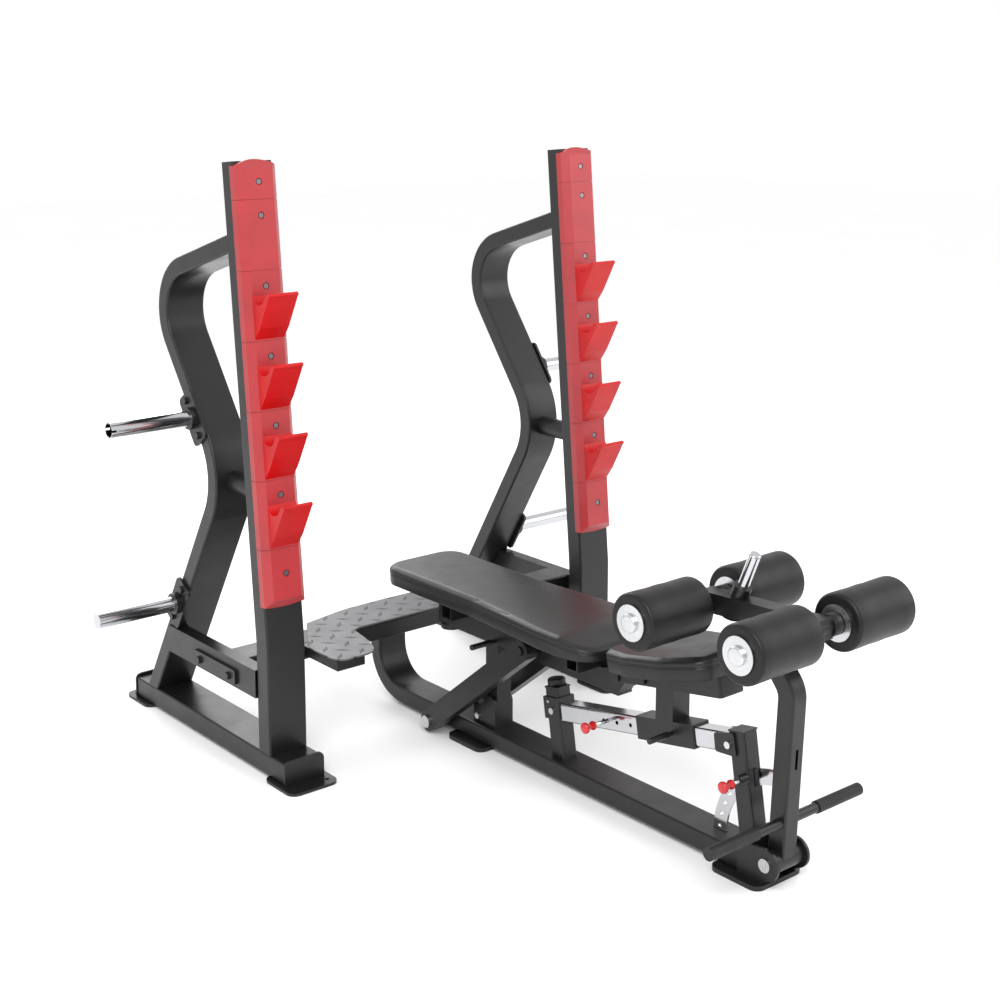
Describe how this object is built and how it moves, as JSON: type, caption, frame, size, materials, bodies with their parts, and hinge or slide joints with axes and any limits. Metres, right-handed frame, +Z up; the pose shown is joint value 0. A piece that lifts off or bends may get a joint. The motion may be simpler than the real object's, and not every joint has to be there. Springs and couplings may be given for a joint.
{
  "type": "olympic bench press",
  "caption": "Flat bench press station with two leaning racked uprights, stepped bar hooks, plate horns, spotter platform, sliding seat and back rest on a rail, and a roller leg hold.",
  "frame": {"origin": "middle of the footprint on the floor", "axes": "+X across the bench to its user side right, -Y towards the leg rollers, +Y towards the uprights and their rear feet, +Z up"},
  "size_m": [1.786, 2.241, 1.6779],
  "materials": {
    "frame_black": "satin powder coat",
    "cover_red": "moulded satin",
    "hook_red": "moulded satin",
    "chrome": "polished",
    "fastener_silver": "zinc plated",
    "tread_grey": "diamond tread",
    "vinyl_black": "grained vinyl",
    "rubber_black": "ribbed",
    "foam_black": "closed-cell foam",
    "knob_red": "moulded gloss"
  },
  "bodies": {
    "base": {"base_beam_left": "frame_black", "base_beam_right": "frame_black", "stand_feet": "frame_black", "upright_left": "frame_black", "upright_right": "frame_black", "rear_loop_left": "frame_black", "rear_loop_right": "frame_black", "braces": "frame_black", "cover_left": "cover_red", "cover_right": "cover_red", "bar_hook_1_left": "hook_red", "bar_hook_1_right": "hook_red", "bar_hook_2_left": "hook_red", "bar_hook_2_right": "hook_red", "bar_hook_3_left": "hook_red", "bar_hook_3_right": "hook_red", "bar_hook_4_left": "hook_red", "bar_hook_4_right": "hook_red", "plate_horns_left": "chrome", "plate_horns_right": "chrome", "horn_mounts": "frame_black", "spacer_tubes": "frame_black", "brace_plates": "frame_black", "cover_screws": "fastener_silver", "cross_member": "frame_black", "tread_plate": "tread_grey", "platform_arms": "frame_black", "bench_beam": "frame_black", "bench_feet": "frame_black", "column": "frame_black", "column_ears": "frame_black", "guide_post": "frame_black", "rail_sleeve": "frame_black", "rail": "chrome", "front_post": "frame_black", "head_bracket": "frame_black", "fork": "frame_black", "pivot_axles": "fastener_silver", "bench_bolts": "fastener_silver"},
    "carriage": {"seat_collar": "frame_black", "seat_tube": "frame_black", "seat_pad": "vinyl_black"},
    "backrest": {"back_frame": "frame_black", "back_pad": "vinyl_black"},
    "lifting_arms": {"lifting_arms": "frame_black"},
    "leg_hold": {"leg_arm": "frame_black", "roller_frame": "frame_black", "roller_discs": "fastener_silver", "ladder_plate": "chrome", "footrest_bar": "frame_black", "footrest_grips": "rubber_black", "grip_tube": "chrome"},
    "roller_rear_left": {"foam_roller_rear_left": "foam_black"},
    "roller_rear_right": {"foam_roller_rear_right": "foam_black"},
    "roller_front_left": {"foam_roller_front_left": "foam_black"},
    "roller_front_right": {"foam_roller_front_right": "foam_black"},
    "rail_pin": {"rail_pin": "knob_red"},
    "ladder_pin": {"ladder_pin": "knob_red"},
    "carriage_pin": {"carriage_pin": "frame_black"},
    "back_pin": {"back_pin": "frame_black"}
  },
  "joints": [
    {"name": "seat_slide", "type": "slide", "parent": "base", "child": "carriage", "axis": [0, 0.9833, -0.1819], "range_m": [0, 0.104]},
    {"name": "back_tilt", "type": "hinge", "parent": "carriage", "child": "backrest", "pos_m": [0, -0.4385, 0.372], "axis": [1, 0, 0], "range_deg": [0, 20.4]},
    {"name": "arm_lift", "type": "hinge", "parent": "base", "child": "lifting_arms", "pos_m": [0, 0.2865, 0.036], "axis": [-1, 0, 0], "range_deg": [0, 13.9]},
    {"name": "leg_swing", "type": "hinge", "parent": "base", "child": "leg_hold", "pos_m": [0, -0.9605, 0.062], "axis": [1, 0, 0], "range_deg": [0, 20]},
    {"name": "roller_rear_left_spin", "type": "hinge", "parent": "leg_hold", "child": "roller_rear_left", "pos_m": [0, -0.7185, 0.64], "axis": [1, 0, 0], "continuous": true},
    {"name": "roller_rear_right_spin", "type": "hinge", "parent": "leg_hold", "child": "roller_rear_right", "pos_m": [0, -0.7185, 0.64], "axis": [1, 0, 0], "continuous": true},
    {"name": "roller_front_left_spin", "type": "hinge", "parent": "leg_hold", "child": "roller_front_left", "pos_m": [0, -1.0505, 0.655], "axis": [1, 0, 0], "continuous": true},
    {"name": "roller_front_right_spin", "type": "hinge", "parent": "leg_hold", "child": "roller_front_right", "pos_m": [0, -1.0505, 0.655], "axis": [1, 0, 0], "continuous": true},
    {"name": "rail_pin_pull", "type": "slide", "parent": "base", "child": "rail_pin", "axis": [-1, 0, 0], "range_m": [0, 0.045]},
    {"name": "ladder_pin_pull", "type": "slide", "parent": "base", "child": "ladder_pin", "axis": [-1, 0, 0], "range_m": [0, 0.012], "stiffness_N_per_m": 600, "springref_m": -0.006},
    {"name": "carriage_pin_pull", "type": "slide", "parent": "carriage", "child": "carriage_pin", "axis": [-1, 0, 0], "range_m": [0, 0.012], "stiffness_N_per_m": 600, "springref_m": -0.006},
    {"name": "back_pin_pull", "type": "slide", "parent": "backrest", "child": "back_pin", "axis": [-1, 0, 0], "range_m": [0, 0.012], "stiffness_N_per_m": 600, "springref_m": -0.006}
  ],
  "couplings": [
    {"joint": "back_tilt", "follows": "seat_slide", "rad_per_m": 3.395},
    {"joint": "arm_lift", "follows": "seat_slide", "rad_per_m": 2.3126}
  ]
}
